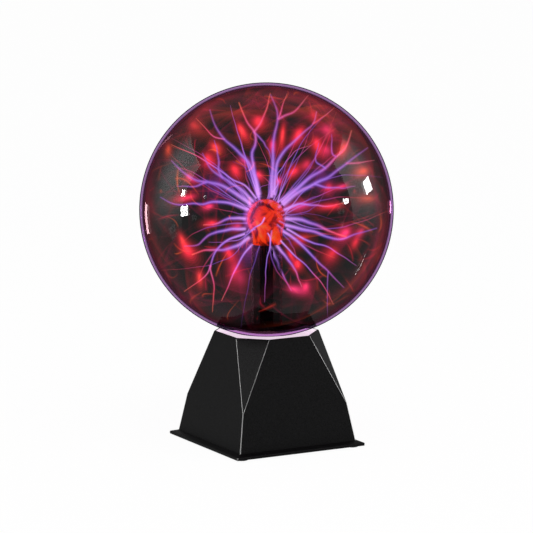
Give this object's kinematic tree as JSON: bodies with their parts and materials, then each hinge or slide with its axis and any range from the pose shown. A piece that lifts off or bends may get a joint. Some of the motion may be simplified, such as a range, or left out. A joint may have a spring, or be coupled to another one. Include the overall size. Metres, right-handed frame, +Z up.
{
  "type": "plasma ball",
  "caption": "Desk plasma ball: a sealed gas-filled glass globe with a central glass electrode, on a faceted square base with a rear rocker switch and power inlet.",
  "frame": {"origin": "centre of the square footprint, on the plane that the four rubber feet stand on", "axes": "+Z up through the globe; -Y is the front face; +Y is the rear face with the rocker switch and the power inlet; +X is the right side seen from the front"},
  "size_m": [0.2, 0.2, 0.2858],
  "materials": {
    "black_abs": "moulded black ABS with a fine satin texture",
    "foot_rubber": "matte black rubber",
    "zinc_steel": "zinc-plated steel",
    "milk_plastic": "polished milky white plastic",
    "clear_silicone": "translucent silicone rubber",
    "globe_glass": "polished clear glass full of glowing gas",
    "electrode_glass": "polished clear glass",
    "copper_mesh": "crumpled coppery wire mesh that glows orange-red",
    "sleeve_black": "matte black insulating sleeve",
    "lead_insulation": "red silicone insulation",
    "board_laminate": "tan phenolic laminate",
    "ferrite": "fired dark grey ferrite",
    "bobbin_nylon": "natural nylon",
    "winding": "enamelled copper wire",
    "epoxy_black": "moulded black epoxy",
    "heatsink_aluminium": "extruded aluminium",
    "can_sleeve": "blue shrink sleeve",
    "film_case": "red dipped resin",
    "resistor_paint": "buff lacquer",
    "microphone_can": "drawn aluminium can",
    "switch_nylon": "moulded black nylon",
    "rocker_gloss": "glossy black plastic",
    "tinned_brass": "tin-plated brass",
    "wire_insulation": "PVC insulation"
  },
  "bodies": {
    "base": {"base_shell": "black_abs", "plinth_plate": "black_abs", "rubber_feet": "foot_rubber", "base_screws": "zinc_steel", "seat_plate": "milk_plastic", "globe_gasket": "clear_silicone", "glass_globe": "globe_glass", "exhaust_tip": "globe_glass", "electrode_glass": "electrode_glass", "electrode_fill": "copper_mesh", "stem_sleeve": "sleeve_black", "stem_bung": "clear_silicone", "high_voltage_lead": "lead_insulation", "neck_collar": "black_abs", "silicone_bead": "clear_silicone", "collar_screws": "zinc_steel", "circuit_board": "board_laminate", "board_screws": "zinc_steel", "transformer_core": "ferrite", "transformer_bobbin": "bobbin_nylon", "primary_winding": "winding", "secondary_winding": "epoxy_black", "power_transistor": "epoxy_black", "heatsink": "heatsink_aluminium", "transistor_screw": "zinc_steel", "electrolytic_capacitors": "can_sleeve", "film_capacitors": "film_case", "resistors": "resistor_paint", "driver_chip": "epoxy_black", "microphone": "microphone_can", "switch_body": "switch_nylon", "switch_terminals": "tinned_brass", "dc_jack_body": "switch_nylon", "dc_jack_nut": "tinned_brass", "dc_jack_pin": "tinned_brass", "dc_jack_terminals": "tinned_brass", "switch_leads": "wire_insulation", "inlet_leads": "wire_insulation"},
    "rocker": {"switch_rocker": "rocker_gloss"}
  },
  "joints": [
    {"name": "rocker_tilt", "type": "hinge", "parent": "base", "child": "rocker", "pos_m": [-0.017, 0.04365, 0.04273], "axis": [-1, 0, 0], "range_deg": [0, 24]}
  ]
}
